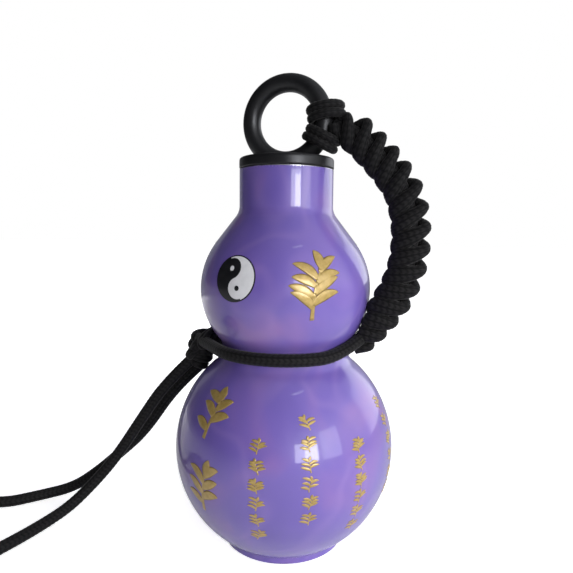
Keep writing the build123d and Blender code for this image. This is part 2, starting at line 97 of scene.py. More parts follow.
# Cords, strap and knots
CORD_RADIUS = 0.003
STITCH_LENGTH = 0.0024
STITCH_RELIEF = 0.00016
STITCH_SLANT = 1.1
STITCH_ROUNDNESS = 0.7
COLUMN_ROUNDNESS = 0.45
STITCH_COLUMNS = 6.0
CORD_SIDES = 32
CORD_STEP = 0.00052
LOOP_STEPS = 96
WAIST_CORD_HEIGHT = 0.0984
WAIST_CORD_RADIUS = 0.0347
WAIST_STEPS = 48
STRAND_SPACING = 0.0066
STRAND_END = (0.0395, 0.001)
STRAND_RISE_START = 0.025
STRAND_RISE = 0.007
STRAP_HALF_WIDTH = 0.0085
STRAP_HALF_DEPTH = 0.0062
STRAP_BAND_THICKNESS = 0.0058
STRAP_BAND_WIDTH = 0.0068
STRAP_BAND_SQUEEZE = 0.0018
STRAP_BAND_LEAST = 0.55
STRAP_BAND_COLUMNS = 8.0
STRAP_BAND_SIDES = 40
STRAP_OUTER_SWELL = 0.0015
STRAP_LOBE_SHARPNESS = 1.2
STRAP_HEAD_RUN = 0.0038
STRAP_LOBES = 15
STRAP_TURN_START = 0.25
STRAP_CORE_SHARE = 0.5
STRAP_CURVE_STEPS = 16
STRAP_LINE_STEP = 0.0005
STRAP_TOP = (0.02653, 0.20306)
STRAP_FOOT = (0.0362, 0.0996)
STRAP_BOW = 0.0286
STRAP_ALONG_SHARES = (0.0, 0.018, 0.065, 0.186, 0.30, 0.436, 0.55, 0.66, 0.77, 0.87, 0.95, 1.0)
STRAP_BOW_SHARES = (0.0, 0.14, 0.347, 0.71, 0.935, 1.0, 0.96, 0.84, 0.62, 0.33, 0.11, 0.0)
STRAP_WIDTH_SHARES = (0.72, 1.0, 1.0, 1.0, 1.0, 1.0, 1.0, 1.0, 1.0, 1.0, 0.93, 0.72)
HITCH_ANGLES = (math.radians(9.5), math.radians(-27))
HITCH_HALF_THICKNESS = 0.0026
HITCH_SQUEEZE = 0.0008
HITCH_SHIFT = 0.0009
HITCH_STRAND_HALF_WIDTH = 0.0022
HITCH_STRAND_SPACING = 0.0019
HITCH_CLEARANCE = 0.0002
HITCH_REACH = RING_TUBE + HITCH_CLEARANCE + HITCH_HALF_THICKNESS
KNOT_OFFSET = 0.0469
KNOT_HEIGHT = 0.0925
KNOT_LENGTH = 0.0225
KNOT_RADIUS = 0.0071
KNOT_TILT = math.radians(9.8)
KNOT_WRAPS = 4.0
KNOT_STEPS = 320
KNOT_REACH_SHARES = (0.8, 1.0, 1.15, 1.1, 0.85, 0.55)
BINDING_RADIUS = 0.0027
# Turns that bind the knot: place along X, height, slant in degrees, half height, half depth
BINDING_TURNS = (
    (-0.0385, 0.0991, 12, 0.0036, 0.0105),
    (-0.0418, 0.0983, 24, 0.0040, 0.0088),
    (-0.0455, 0.0962, 40, 0.0062, 0.0075),
    (-0.0487, 0.0918, 46, 0.0048, 0.0068),
)

# Shoulder cord: the route's points, as the solids have them, and the coil of its unseen length
LYING_HEIGHT = 0.00305
LEG_A = [
    (-0.0481, -0.0019, 0.0902),
    (-0.065, -0.0065, 0.0738),
    (-0.0805, -0.0092, 0.0505),
    (-0.0933, -0.0115, 0.0309),
    (-0.1035, -0.0175, 0.017),
    (-0.1134, -0.0266, 0.0049),
    (-0.1162, -0.044, 0.00305),
    (-0.1188, -0.063, 0.00305),
    (-0.123, -0.082, 0.00305),
]
LEG_B = [
    (-0.0463, 0.0026, 0.0852),
    (-0.0622, -0.0003, 0.0713),
    (-0.0825, -0.001, 0.0424),
    (-0.0975, -0.0029, 0.0285),
    (-0.1125, -0.0054, 0.0152),
    (-0.1265, -0.009, 0.0052),
    (-0.14, -0.0195, 0.00305),
    (-0.155, -0.0365, 0.00305),
]
LEG_END_RUN = 0.016
COIL_CENTRE = (-0.1737, -0.0852)
COIL_START = math.radians(-56)
COIL_RADIUS = 0.0349
COIL_SPACING = 0.0065
COIL_HALF_TURNS_IN = 4
COIL_POINTS_PER_HALF_TURN = 9
CORD_CURVE_STEPS = 12

# Camera, found from the photograph
PHOTO_SIZE = 573
CAMERA_TURN = math.radians(19)
CAMERA_PLACE = (0.00052, -0.261, 0.1546)
CAMERA_PITCH = 0.1031
CAMERA_ROLL = 0.0105
FOCAL_PIXELS = 526.2
SENSOR_WIDTH = 36.0
NEAR_LIMIT = 0.01


def turned(point):
    """A place in the camera's upright frame, moved to the part's frame."""
    return Matrix.Rotation(CAMERA_TURN, 4, "Z") @ Vector(point)


def new_object(name, data, material=None):
    piece = bpy.data.objects.new(name, data)
    bpy.context.scene.collection.objects.link(piece)
    if material is not None:
        data.materials.append(material)
    return piece


def make_camera():
    data = bpy.data.cameras.new("camera")
    data.sensor_width = SENSOR_WIDTH
    data.lens = FOCAL_PIXELS / PHOTO_SIZE * SENSOR_WIDTH
    data.clip_start = NEAR_LIMIT
    camera = new_object("camera", data)
    upright = Matrix.Rotation(math.pi / 2 - CAMERA_PITCH, 4, "X")
    rolled = upright @ Matrix.Rotation(CAMERA_ROLL, 4, "Z")
    place = Matrix.Translation(turned(CAMERA_PLACE))
    camera.matrix_world = place @ Matrix.Rotation(CAMERA_TURN, 4, "Z") @ rolled
    bpy.context.scene.camera = camera


make_camera()
bpy.context.scene.view_settings.view_transform = "Standard"


# Materials


def new_material(name):
    material = bpy.data.materials.new(name)
    material.use_nodes = True
    tree = material.node_tree
    tree.nodes.clear()
    output = tree.nodes.new("ShaderNodeOutputMaterial")
    shader = tree.nodes.new("ShaderNodeBsdfPrincipled")
    tree.links.new(shader.outputs["BSDF"], output.inputs["Surface"])
    return material, tree, shader


def set_values(node, values):
    for name, value in values.items():
        node.inputs[name].default_value = value


def object_coordinates(tree, stretch=(1, 1, 1), shift=(0, 0, 0)):
    coordinates = tree.nodes.new("ShaderNodeTexCoord")
    mapping = tree.nodes.new("ShaderNodeMapping")
    set_values(mapping, {"Scale": stretch, "Location": shift})
    tree.links.new(coordinates.outputs["Object"], mapping.inputs["Vector"])
    return mapping.outputs["Vector"]


def noise_texture(tree, vector, scale, detail=2.0, roughness=0.5, distortion=0.0):
    texture = tree.nodes.new("ShaderNodeTexNoise")
    set_values(texture, {"Scale": scale, "Detail": detail})
    set_values(texture, {"Roughness": roughness, "Distortion": distortion})
    tree.links.new(vector, texture.inputs["Vector"])
    return texture.outputs["Fac"]


def colour_ramp(tree, value, stops):
    ramp = tree.nodes.new("ShaderNodeValToRGB")
    elements = ramp.color_ramp.elements
    while len(elements) < len(stops):
        elements.new(0.5)
    for element, (place, colour) in zip(elements, stops):
        element.position = place
        element.color = (*colour, 1)
    tree.links.new(value, ramp.inputs["Fac"])
    return ramp.outputs["Color"]


def value_range(tree, value, low, high, start=0.0, end=1.0, interpolation="LINEAR"):
    node = tree.nodes.new("ShaderNodeMapRange")
    node.interpolation_type = interpolation
    set_values(node, {"From Min": start, "From Max": end, "To Min": low, "To Max": high})
    tree.links.new(value, node.inputs["Value"])
    return node.outputs["Result"]


def mix_colours(tree, factor, first, second):
    """The first colour, a socket, mixed with the second one, three numbers."""
    node = tree.nodes.new("ShaderNodeMix")
    node.data_type = "RGBA"
    sockets = {socket.name: socket for socket in node.inputs if socket.enabled}
    tree.links.new(factor, sockets["Factor"])
    tree.links.new(first, sockets["A"])
    sockets["B"].default_value = (*second, 1)
    return [socket for socket in node.outputs if socket.enabled][0]


def compute(tree, operation, *values):
    """A math node on sockets or numbers."""
    node = tree.nodes.new("ShaderNodeMath")
    node.operation = operation
    for index, value in enumerate(values):
        if isinstance(value, bpy.types.NodeSocket):
            tree.links.new(value, node.inputs[index])
        else:
            node.inputs[index].default_value = value
    return node.outputs[0]


def vector_math(tree, operation, vector):
    node = tree.nodes.new("ShaderNodeVectorMath")
    node.operation = operation
    tree.links.new(vector, node.inputs[0])
    return node


def smooth_step(tree, value, start, end, low=0.0, high=1.0):
    return value_range(tree, value, low, high, start, end, "SMOOTHSTEP")


def set_finish(tree, shader, colour, grain, roughness):
    """Links the colour, and a roughness between two values that follows the grain."""
    tree.links.new(colour, shader.inputs["Base Color"])
    tree.links.new(value_range(tree, grain, *roughness), shader.inputs["Roughness"])


def add_bump(tree, shader, height, strength, distance):
    bump = tree.nodes.new("ShaderNodeBump")
    set_values(bump, {"Strength": strength, "Distance": distance})
    tree.links.new(height, bump.inputs["Height"])
    tree.links.new(bump.outputs["Normal"], shader.inputs["Normal"])


GRAIN_DEPTH = 0.0001
GRAIN_STRENGTH = 0.1

LACQUER_DEEP = (0.13, 0.09, 0.385)
LACQUER_MID = (0.165, 0.112, 0.425)
LACQUER_PALE = (0.25, 0.14, 0.42)
LACQUER_VEIN = (0.34, 0.22, 0.52)
CLOUD_STRETCH = (1, 1, 0.75)
CLOUD_SHIFT = (0.02, 0.013, 0.031)
VEIN_HALF_WIDTH = 0.06
VEIN_STRENGTH = 0.16
RIPPLE_DEPTH = 0.0002
CAP_DARK = (0.008, 0.008, 0.009)
CAP_LIGHT = (0.013, 0.013, 0.014)
# Braid colours: painted shade for the grooves, painted highlight for the raised stitches, and a worn colour
# for patches
BRAID_GROOVE_PAINTED_SHADE = (0.002, 0.002, 0.002)
BRAID_STITCH_PAINTED_HIGHLIGHT = (0.021, 0.02, 0.02)
BRAID_WORN = (0.006, 0.006, 0.007)
GOLD_DEEP = (0.41, 0.28, 0.075)
GOLD_LIGHT = (0.54, 0.38, 0.13)
GOLD_EDGE = (0.13, 0.07, 0.025)


def lacquer_material():
    """Gloss purple lacquer with faint clouds of deeper and pinker purple under a clear coat."""
    material, tree, shader = new_material("purple_lacquer")
    vector = object_coordinates(tree, CLOUD_STRETCH, CLOUD_SHIFT)
    clouds = noise_texture(tree, vector, scale=30, roughness=0.45, distortion=0.6)
    stops = [(0.3, LACQUER_DEEP), (0.5, LACQUER_MID), (0.68, LACQUER_PALE)]
    colour = colour_ramp(tree, clouds, stops)
    swirls = noise_texture(tree, vector, scale=17, detail=1, distortion=1.6)
    off_vein = compute(tree, "ABSOLUTE", compute(tree, "SUBTRACT", swirls, 0.5))
    vein = smooth_step(tree, off_vein, VEIN_HALF_WIDTH, 0.0, 0.0, VEIN_STRENGTH)
    colour = mix_colours(tree, vein, colour, LACQUER_VEIN)
    flakes = noise_texture(tree, vector, scale=900, detail=1)
    set_finish(tree, shader, colour, flakes, (0.3, 0.4))
    set_values(shader, {"Coat Weight": 1.0, "Coat Roughness": 0.03, "Coat IOR": 1.5})
    ripples = noise_texture(tree, vector, scale=160, detail=1)
    add_bump(tree, shader, ripples, 0.05, RIPPLE_DEPTH)
    return material


def cap_material():
    """Satin black moulded plastic with a fine grain."""
    material, tree, shader = new_material("satin_black_plastic")
    vector = object_coordinates(tree)
    grain = noise_texture(tree, vector, scale=1400)
    patches = noise_texture(tree, vector, scale=60)
    colour = colour_ramp(tree, patches, [(0.3, CAP_DARK), (0.7, CAP_LIGHT)])
    set_finish(tree, shader, colour, patches, (0.3, 0.42))
    add_bump(tree, shader, grain, 0.12, GRAIN_DEPTH)
    return material


def cord_material():
    """Black braided polyester: matt, with a faint sheen; its colour holds painted shade in the grooves and a
    painted highlight along the raised stitches, over worn patches.
    """
    material, tree, shader = new_material("black_braid")
    stitch = tree.nodes.new("ShaderNodeAttribute")
    stitch.attribute_name = "stitch_height"
    vector = object_coordinates(tree)
    fuzz = noise_texture(tree, vector, scale=2600)
    patches = noise_texture(tree, vector, scale=90)
    # Painted shade in the grooves and painted highlight on the stitches, following each stitch's height
    stitches = colour_ramp(tree, stitch.outputs["Fac"], [(0.25, BRAID_GROOVE_PAINTED_SHADE), (0.9, BRAID_STITCH_PAINTED_HIGHLIGHT)])
    painted_stitch_light_and_wear = mix_colours(tree, value_range(tree, patches, 0.0, 0.5), stitches, BRAID_WORN)
    set_finish(tree, shader, painted_stitch_light_and_wear, fuzz, (0.6, 0.85))
    set_values(shader, {"Specular IOR Level": 0.2, "Sheen Weight": 0.08, "Sheen Roughness": 0.4})
    add_bump(tree, shader, fuzz, 0.35, GRAIN_DEPTH)
    return material


def gold_material():
    """Gold print: ochre with a slight metallic glint, darker along the edge of each stroke."""
    material, tree, shader = new_material("gold_print")
    edge = tree.nodes.new("ShaderNodeAttribute")
    edge.attribute_name = "stroke_edge"
    vector = object_coordinates(tree)
    grain = noise_texture(tree, vector, scale=500, detail=3)
    ochre = colour_ramp(tree, grain, [(0.3, GOLD_DEEP), (0.7, GOLD_LIGHT)])
    rim = value_range(tree, edge.outputs["Fac"], 0.0, 0.85, 0.3, 1.0)
    colour = mix_colours(tree, rim, ochre, GOLD_EDGE)
    set_finish(tree, shader, colour, grain, (0.3, 0.42))
    set_values(shader, {"Metallic": 0.35, "Coat Weight": 0.5, "Coat Roughness": 0.08})
    add_bump(tree, shader, grain, GRAIN_STRENGTH, GRAIN_DEPTH)
    return material


def plain_finish(name, dark, light, roughness, metallic, scale, coat):
    """A finish with a fine grain in its colour, roughness and surface."""
    material, tree, shader = new_material(name)
    vector = object_coordinates(tree)
    grain = noise_texture(tree, vector, scale, detail=3)
    colour = colour_ramp(tree, grain, [(0.3, dark), (0.7, light)])
    set_finish(tree, shader, colour, grain, roughness)
    set_values(shader, {"Metallic": metallic, "Coat Weight": coat})
    add_bump(tree, shader, grain, GRAIN_STRENGTH, GRAIN_DEPTH)
    return material


# Slot, material, dark and light colour, roughness, metallic, grain's scale, coat
PLAIN_FINISHES = (
    ("bare_steel", "drawn_steel", (0.5, 0.5, 0.51), (0.62, 0.62, 0.63), (0.22, 0.36), 1.0, 700, 0.0),
    ("solder", "solder", (0.38, 0.38, 0.4), (0.5, 0.5, 0.52), (0.3, 0.5), 1.0, 300, 0.0),
    ("pad_rubber", "pad_rubber", (0.018,) * 3, (0.032,) * 3, (0.6, 0.8), 0.0, 300, 0.0),
    ("getter_metal", "getter_metal", (0.2,) * 3, (0.3,) * 3, (0.5, 0.7), 1.0, 300, 0.0),
    ("dark_print", "black_print", (0.006, 0.006, 0.008), (0.012, 0.012, 0.014), (0.25, 0.35), 0.0, 300, 0.6),
    ("light_print", "white_print", (0.72, 0.72, 0.74), (0.8, 0.8, 0.82), (0.25, 0.35), 0.0, 300, 0.6),
    ("plug_plastic", "plug_plastic", (0.5, 0.5, 0.48), (0.6, 0.6, 0.58), (0.4, 0.55), 0.0, 300, 0.0),
    ("foam", "insulating_foam", (0.6, 0.57, 0.48), (0.8, 0.77, 0.68), (0.8, 0.95), 0.0, 300, 0.0),
    ("silicone", "silicone", (0.62,) * 3, (0.7,) * 3, (0.35, 0.5), 0.0, 300, 0.0),
)
lacquer = lacquer_material()
cap_plastic = cap_material()
braid = cord_material()
gold = gold_material()
finishes = {"lacquer": lacquer, "cap_plastic": cap_plastic, "cord": braid}
for finish_slot, *finish_values in PLAIN_FINISHES:
    finishes[finish_slot] = plain_finish(*finish_values)


def dress_cad_nodes():
    """Gives every CAD node the finish of its slot in the record."""
    slots = {entry["node"]: entry["material_slot"] for entry in frame["record"]["subparts"]}
    for name, node in nodes.items():
        node.data.materials.clear()
        node.data.materials.append(finishes[slots[name]])


dress_cad_nodes()


# Meshes


def shade_smooth(mesh):
    mesh.polygons.foreach_set("use_smooth", [True] * len(mesh.polygons))


def built_mesh(name, builder):
    mesh = bpy.data.meshes.new(name)
    builder.to_mesh(mesh)
    builder.free()
    shade_smooth(mesh)
    return mesh


def applied(piece):
    """Turns a piece's modifiers into a plain mesh."""
    graph = bpy.context.evaluated_depsgraph_get()
    mesh = bpy.data.meshes.new_from_object(piece.evaluated_get(graph))
    piece.modifiers.clear()
    old = piece.data
    piece.data = mesh
    bpy.data.meshes.remove(old)
    shade_smooth(mesh)
    return piece


def join_rings(builder, low, high):
    """Faces between two rings of vertices, each closed on itself."""
    sides = len(low)
    return [
        builder.faces.new((low[side], low[(side + 1) % sides], high[(side + 1) % sides], high[side]))
        for side in range(sides)
    ]


def tangent_at(points, index):
    """A path's direction at one of its points."""
    before, after = points[max(index - 1, 0)], points[min(index + 1, len(points) - 1)]
    return (after - before).normalized()


def arc_points(centre, radius, start, end, count):
    """Places along an arc in a plane, as pairs."""
    angles = [start + (end - start) * step / count for step in range(count + 1)]
    return [
        (centre[0] + radius * math.cos(angle), centre[1] + radius * math.sin(angle))
        for angle in angles
    ]


def lathe(name, outline, sides, material):
    """A closed surface turned round Z from an outline of (radius, height) places."""
    builder = bmesh.new()
    rings = []
    for radius, height in outline:
        if radius == 0:
            rings.append([builder.verts.new((0, 0, height))])
            continue
        circle = arc_points((0, 0), radius, 0, math.tau, sides)[:-1]
        rings.append([builder.verts.new((x, y, height)) for x, y in circle])
    pairs = list(zip(rings, rings[1:]))
    if len(rings[0]) > 1:
        pairs.append((rings[-1], rings[0]))
    for low, high in pairs:
        for side in range(sides):
            after = (side + 1) % sides
            corners = [low[side % len(low)], low[after % len(low)]]
            corners += [high[after % len(high)], high[side % len(high)]]
            corners = list(dict.fromkeys(corners))
            if len(corners) > 2:
                builder.faces.new(corners)
    bmesh.ops.recalc_face_normals(builder, faces=builder.faces)
    return new_object(name, built_mesh(name, builder), material)


# Flask: one lacquered skin over the three shells


def waist_arc():
    """Centre of the waist's hollow arc, and the directions to it from each bulb's centre."""
    low = LOWER_RADIUS + WAIST_FILLET
    high = UPPER_RADIUS + WAIST_FILLET
    rise = UPPER_HEIGHT - LOWER_HEIGHT
    span = math.hypot(UPPER_OFFSET, rise)
    along = (low**2 - high**2 + span**2) / (2 * span)
    across = math.sqrt(low**2 - along**2)
    centre = (
        along * UPPER_OFFSET / span + across * rise / span,
        LOWER_HEIGHT + along * rise / span - across * UPPER_OFFSET / span,
    )
    low_angle = math.atan2(centre[1] - LOWER_HEIGHT, centre[0])
    high_angle = math.atan2(centre[1] - UPPER_HEIGHT, centre[0] - UPPER_OFFSET)
    return centre, low_angle, high_angle


def flask_outline():
    """The skin's outline as (radius, height) places, from inside the foot to inside the rim."""
    waist, low_angle, high_angle = waist_arc()
    reach = NECK_RADIUS + NECK_FILLET - UPPER_OFFSET
    bend_height = UPPER_HEIGHT + (
        UPPER_RADIUS + NECK_FILLET - reach * math.cos(SHOULDER_ANGLE)
    ) / math.sin(SHOULDER_ANGLE)
    bend = (NECK_RADIUS + NECK_FILLET, bend_height)
    foot_angle = -math.acos(FOOT_RADIUS / LOWER_RADIUS)
    foot_join = LOWER_HEIGHT + LOWER_RADIUS * math.sin(foot_angle)
    inner_foot = FOOT_RADIUS - SHELL_WALL
    outline = [(inner_foot, foot_join), (inner_foot, FOOT_EDGE)]
    outline += arc_points(
        (FOOT_RADIUS - FOOT_EDGE, 2 * FOOT_EDGE), FOOT_EDGE, -math.pi / 2, 0, FOOT_STEPS
    )
    outline.append((FOOT_RADIUS, foot_join - FOOT_EDGE))
    low_start = foot_angle + FOOT_GAP_ANGLE
    outline += arc_points((0, LOWER_HEIGHT), LOWER_RADIUS, low_start, low_angle, LOWER_STEPS)
    outline += arc_points(waist, WAIST_FILLET, math.pi + low_angle, math.pi + high_angle, HOLLOW_STEPS)[1:]
    upper = (UPPER_OFFSET, UPPER_HEIGHT)
    outline += arc_points(upper, UPPER_RADIUS, high_angle, SHOULDER_ANGLE, UPPER_STEPS)[1:]
    outline += arc_points(bend, NECK_FILLET, math.pi + SHOULDER_ANGLE, math.pi, NECK_STEPS)
    outline += arc_points(
        (NECK_RADIUS - NECK_EDGE, NECK_TOP - NECK_EDGE), NECK_EDGE, 0, math.pi / 2, RIM_STEPS
    )
    outline.append((NECK_RADIUS - SHELL_WALL, NECK_TOP))
    outline.append((NECK_RADIUS - SHELL_WALL, NECK_TOP - RIM_DEPTH))
    return outline


def make_flask():
    body = lathe("lacquered_body", flask_outline(), BODY_SIDES, lacquer)
    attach(body, "flask")
    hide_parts("outer_shell_top", "outer_shell_waist", "outer_shell_bottom")


make_flask()

# Stopper: flange and ring blended into one moulding


def make_cap():
    """The flange and the ring, fused by a fine voxel grid and smoothed where they meet."""
    low_round = FLANGE_ROUND / 3
    outline = [(0, FLANGE_BOTTOM), (FLANGE_RADIUS - low_round, FLANGE_BOTTOM)]
    low = (FLANGE_RADIUS - low_round, FLANGE_BOTTOM + low_round)
    outline += arc_points(low, low_round, -math.pi / 2, 0, FLANGE_LOW_STEPS)[1:]
    high = (FLANGE_RADIUS - FLANGE_ROUND, FLANGE_TOP - FLANGE_ROUND)
    outline += arc_points(high, FLANGE_ROUND, 0, math.pi / 2, FLANGE_HIGH_STEPS)
    outline.append((0, FLANGE_TOP))
    cap = lathe("cap_moulding", outline, FLANGE_SIDES, cap_plastic)
    builder = bmesh.new()
    builder.from_mesh(cap.data)
    section = arc_points((RING_RADIUS, 0), RING_TUBE, 0, math.tau, RING_TUBE_SIDES)[:-1]
    rows = []
    for side in range(RING_SIDES):
        turn = math.tau * side / RING_SIDES
        rows.append([
            builder.verts.new((reach * math.cos(turn), y, RING_HEIGHT + reach * math.sin(turn)))
            for reach, y in section
        ])
    faces = []
    for side in range(RING_SIDES):
        faces += join_rings(builder, rows[side], rows[(side + 1) % RING_SIDES])
    bmesh.ops.recalc_face_normals(builder, faces=faces)
    builder.to_mesh(cap.data)
    builder.free()
    remesh = cap.modifiers.new("remesh", "REMESH")
    remesh.mode = "VOXEL"
    remesh.voxel_size = CAP_VOXEL
    smooth = cap.modifiers.new("smooth", "SMOOTH")
    smooth.factor = CAP_SMOOTHING
    smooth.iterations = CAP_SMOOTHING_ROUNDS
    applied(cap)
    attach(cap, "cap")
    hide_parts("cap_top")


make_cap()


# Braided cord: a tube along a path, with raised stitches


def resampled(points, step):
    """The path's points, evenly spaced."""
    points = [Vector(point) for point in points]
    lengths = [0.0]
    for before, after in zip(points, points[1:]):
        lengths.append(lengths[-1] + (after - before).length)
    count = max(2, round(lengths[-1] / step))
    even, index = [], 0
    for place in range(count + 1):
        target = lengths[-1] * place / count
        while index < len(points) - 2 and lengths[index + 1] < target:
            index += 1
        span = lengths[index + 1] - lengths[index]
        even.append(points[index].lerp(points[index + 1], (target - lengths[index]) / span))
    return even


def crosswise_ways(points, facing=None):
    """Two crosswise directions at each point; facing(index) may set the first one."""
    ways, across = [], None
    for index in range(len(points)):
        tangent = tangent_at(points, index)
        if facing is not None:
            across = facing(index)
        elif across is None:
            across = tangent.orthogonal()
        across = (across - tangent * across.dot(tangent)).normalized()
        ways.append((across, tangent.cross(across).normalized()))
    return ways


def tube_mesh(name, points, half_sizes, sides, facing=None):
    """A tube along points; half_sizes(share) gives its half thickness along each crosswise way."""
    ways = crosswise_ways(points, facing)
    builder = bmesh.new()
    along_layer = builder.verts.layers.float.new("cord_along")
    around_layer = builder.verts.layers.float.new("cord_around")
    rings, travelled = [], 0.0
    for index, point in enumerate(points):
        if index:
            travelled += (point - points[index - 1]).length
        wide, thick = half_sizes(index / (len(points) - 1))
        across, up = ways[index]
        ring = []
        for side in range(sides):
            angle = math.tau * side / sides
            vertex = builder.verts.new(
                point + across * wide * math.cos(angle) + up * thick * math.sin(angle)
            )
            vertex[along_layer] = travelled
            vertex[around_layer] = side / sides
            ring.append(vertex)
        rings.append(ring)
    for low, high in zip(rings, rings[1:]):
        join_rings(builder, low, high)
    for ring, order in ((rings[0], -1), (rings[-1], 1)):
        centre = sum((vertex.co for vertex in ring), Vector()) / sides
        middle = builder.verts.new(centre)
        for side in range(sides):
            pair = (ring[side], ring[(side + 1) % sides])
            builder.faces.new((*pair[::order], middle))
    return built_mesh(name, builder)


def stitch_tree():
    """Geometry nodes that raise a cord's stitches: columns of slanted bumps that meet in Vs."""
    tree = bpy.data.node_groups.new("raise_stitches", "GeometryNodeTree")
    for name, way, kind in (
        ("Geometry", "INPUT", "Geometry"),
        ("Stitch Length", "INPUT", "Float"),
        ("Columns", "INPUT", "Float"),
        ("Relief", "INPUT", "Float"),
        ("Finish", "INPUT", "Material"),
        ("Geometry", "OUTPUT", "Geometry"),
    ):
        tree.interface.new_socket(name, in_out=way, socket_type="NodeSocket" + kind)
    source = tree.nodes.new("NodeGroupInput")
    result = tree.nodes.new("NodeGroupOutput")

    def attribute(name):
        node = tree.nodes.new("GeometryNodeInputNamedAttribute")
        node.data_type = "FLOAT"
        node.inputs["Name"].default_value = name
        return node.outputs["Attribute"]

    def hump(value, turn, roundness):
        wave = compute(tree, "SINE", compute(tree, "MULTIPLY", value, turn))
        return compute(tree, "POWER", compute(tree, "ABSOLUTE", wave), roundness)

    column = compute(tree, "MULTIPLY", attribute("cord_around"), source.outputs["Columns"])
    leaning = compute(tree, "MULTIPLY", compute(tree, "PINGPONG", column, 0.5), STITCH_SLANT)
    rows = compute(tree, "DIVIDE", attribute("cord_along"), source.outputs["Stitch Length"])
    slanted = compute(tree, "ADD", rows, leaning)
    along = hump(slanted, math.pi, STITCH_ROUNDNESS)
    height = compute(tree, "MULTIPLY", along, hump(column, math.tau, COLUMN_ROUNDNESS))
    # The stored stitch height also sets the cord's painted shade in the grooves and painted highlight on the
    # stitches
    stored = tree.nodes.new("GeometryNodeStoreNamedAttribute")
    stored.data_type = "FLOAT"
    stored.domain = "POINT"
    stored.inputs["Name"].default_value = "stitch_height"
    tree.links.new(height, stored.inputs["Value"])
    moved = tree.nodes.new("GeometryNodeSetPosition")
    sunk = compute(tree, "SUBTRACT", height, 1.0)
    lift = compute(tree, "MULTIPLY", sunk, source.outputs["Relief"])
    normal = tree.nodes.new("GeometryNodeInputNormal").outputs[0]
    scale = vector_math(tree, "SCALE", normal)
    tree.links.new(lift, scale.inputs["Scale"])
    tree.links.new(scale.outputs["Vector"], moved.inputs["Offset"])
    realized = tree.nodes.new("GeometryNodeRealizeInstances")
    finished = tree.nodes.new("GeometryNodeSetMaterial")
    tree.links.new(source.outputs["Finish"], finished.inputs["Material"])
    chain = (source, stored, moved, realized, finished, result)
    for before, after in zip(chain, chain[1:]):
        tree.links.new(before.outputs["Geometry"], after.inputs["Geometry"])
    return tree


stitches = stitch_tree()


def set_inputs(modifier, values):
    """Sets a geometry nodes modifier's inputs by name, through each socket's identifier."""
    for item in modifier.node_group.interface.items_tree:
        if item.item_type == "SOCKET" and item.in_out == "INPUT" and item.name in values:
            modifier[item.identifier] = values[item.name]


def braided(name, points, half_sizes, columns=STITCH_COLUMNS, facing=None, sides=CORD_SIDES):
    """A braided cord along a path, with its stitches raised on its surface."""
    even = resampled(points, CORD_STEP)
    mesh = tube_mesh(name, even, half_sizes, sides, facing and facing(even))
    piece = new_object(name, mesh)
    modifier = piece.modifiers.new("stitches", "NODES")
    modifier.node_group = stitches
    set_inputs(modifier, {
        "Stitch Length": STITCH_LENGTH, "Columns": columns, "Relief": STITCH_RELIEF, "Finish": braid,
    })
    return applied(piece)


def round_cord(radius):
    return lambda share: (radius, radius)


# Shoulder cord: both legs and the coil are one cord


def coil_place(across, along, height):
    """A place in the coil's own frame, moved to the part's frame."""
    cosine, sine = math.cos(COIL_START), math.sin(COIL_START)
    return (
        COIL_CENTRE[0] + across * cosine + along * sine,
        COIL_CENTRE[1] + across * sine - along * cosine,
        height,
    )


def coil_route():
    """Control points of the coil: half turns inward, one that climbs, and half turns outward."""
    outward = 1 / math.cos(math.pi / COIL_POINTS_PER_HALF_TURN / 2) ** 0.5
    route = []
    place, radius, side = COIL_RADIUS, COIL_RADIUS, 1
    for index in range(2 * COIL_HALF_TURNS_IN + 1):
        if index > COIL_HALF_TURNS_IN:
            radius += COIL_SPACING / 2
        centre = place - side * radius
        for step in range(COIL_POINTS_PER_HALF_TURN):
            turn = (step + 0.5) / COIL_POINTS_PER_HALF_TURN
            climb = min(max(index - COIL_HALF_TURNS_IN + turn, 0), 1)
            route.append(coil_place(
                centre + side * radius * outward * math.cos(math.pi * turn),
                side * radius * outward * math.sin(math.pi * turn),
                LYING_HEIGHT + COIL_SPACING * climb,
            ))
        place = centre - side * radius
        side = -side
        if index < COIL_HALF_TURNS_IN:
            radius -= COIL_SPACING / 2
    return route


def make_shoulder_cord():
    low_run = coil_place(COIL_RADIUS, -LEG_END_RUN, LYING_HEIGHT)
    high_run = coil_place(-COIL_RADIUS, -LEG_END_RUN, LYING_HEIGHT + COIL_SPACING)
    route = [*LEG_A, low_run, *coil_route(), high_run, *reversed(LEG_B)]
    curve = bpy.data.curves.new("shoulder_cord_route", "CURVE")
    curve.dimensions = "3D"
    curve.resolution_u = CORD_CURVE_STEPS
    spline = curve.splines.new("NURBS")
    spline.points.add(len(route) - 1)
    for point, place in zip(spline.points, route):
        point.co = (*place, 1)
    spline.order_u = 3
    spline.use_endpoint_u = True
    line = new_object("shoulder_cord_line", curve)
    graph = bpy.context.evaluated_depsgraph_get()
    mesh = bpy.data.meshes.new_from_object(line.evaluated_get(graph))
    points = [vertex.co.copy() for vertex in mesh.vertices]
    bpy.data.objects.remove(line)
    even = resampled(points, CORD_STEP)
    cord = braided("shoulder_cord", points, round_cord(CORD_RADIUS))
    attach(cord, "harness")
    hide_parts("shoulder_cord_leg_a", "shoulder_cord_leg_b", "shoulder_cord_coil")


make_shoulder_cord()


# Waist loop


def clear_of_bulb(place, gap):
    """The place itself, or the nearest one that leaves the gap to the upper bulb."""
    reach = math.hypot(place.x, place.y)
    away = Vector((reach - UPPER_OFFSET, place.z - UPPER_HEIGHT))
    if away.length >= UPPER_RADIUS + gap:
        return place
    away *= (UPPER_RADIUS + gap) / away.length
    share = (UPPER_OFFSET + away.x) / reach
    return Vector((place.x * share, place.y * share, UPPER_HEIGHT + away.y))


